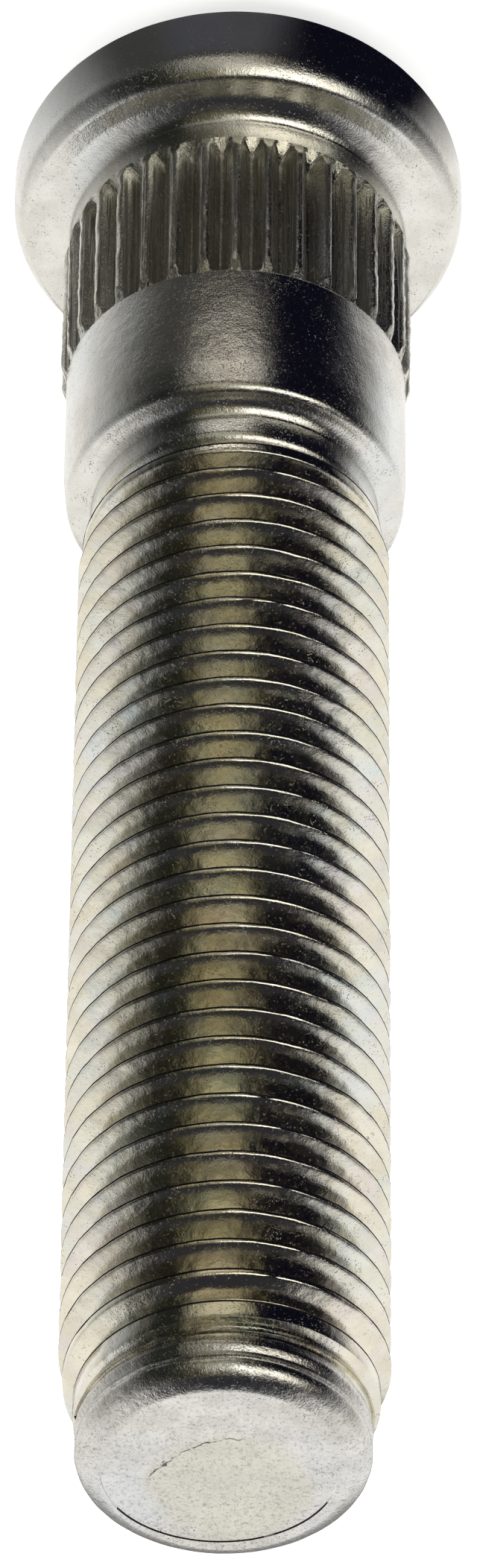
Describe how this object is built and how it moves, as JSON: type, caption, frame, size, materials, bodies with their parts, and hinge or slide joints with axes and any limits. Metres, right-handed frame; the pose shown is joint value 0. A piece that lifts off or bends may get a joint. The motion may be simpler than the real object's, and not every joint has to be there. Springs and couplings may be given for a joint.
{
  "type": "wheel stud",
  "caption": "Press-in wheel stud: round head, serrated band, plain pilot and a long fine right-hand thread with a plain rounded tip.",
  "frame": {"origin": "centre of the head's outer end, on the stud's axis", "axes": "+Z along the stud's axis, from the head to the threaded tip; the stud stands on its head"},
  "size_m": [0.0164, 0.0164, 0.0628],
  "materials": {
    "zinc_steel": "zinc-plated steel, satin, with a faint warm tint and fine dark pits"
  },
  "bodies": {
    "root": {"wheel_stud": "zinc_steel"}
  },
  "joints": []
}
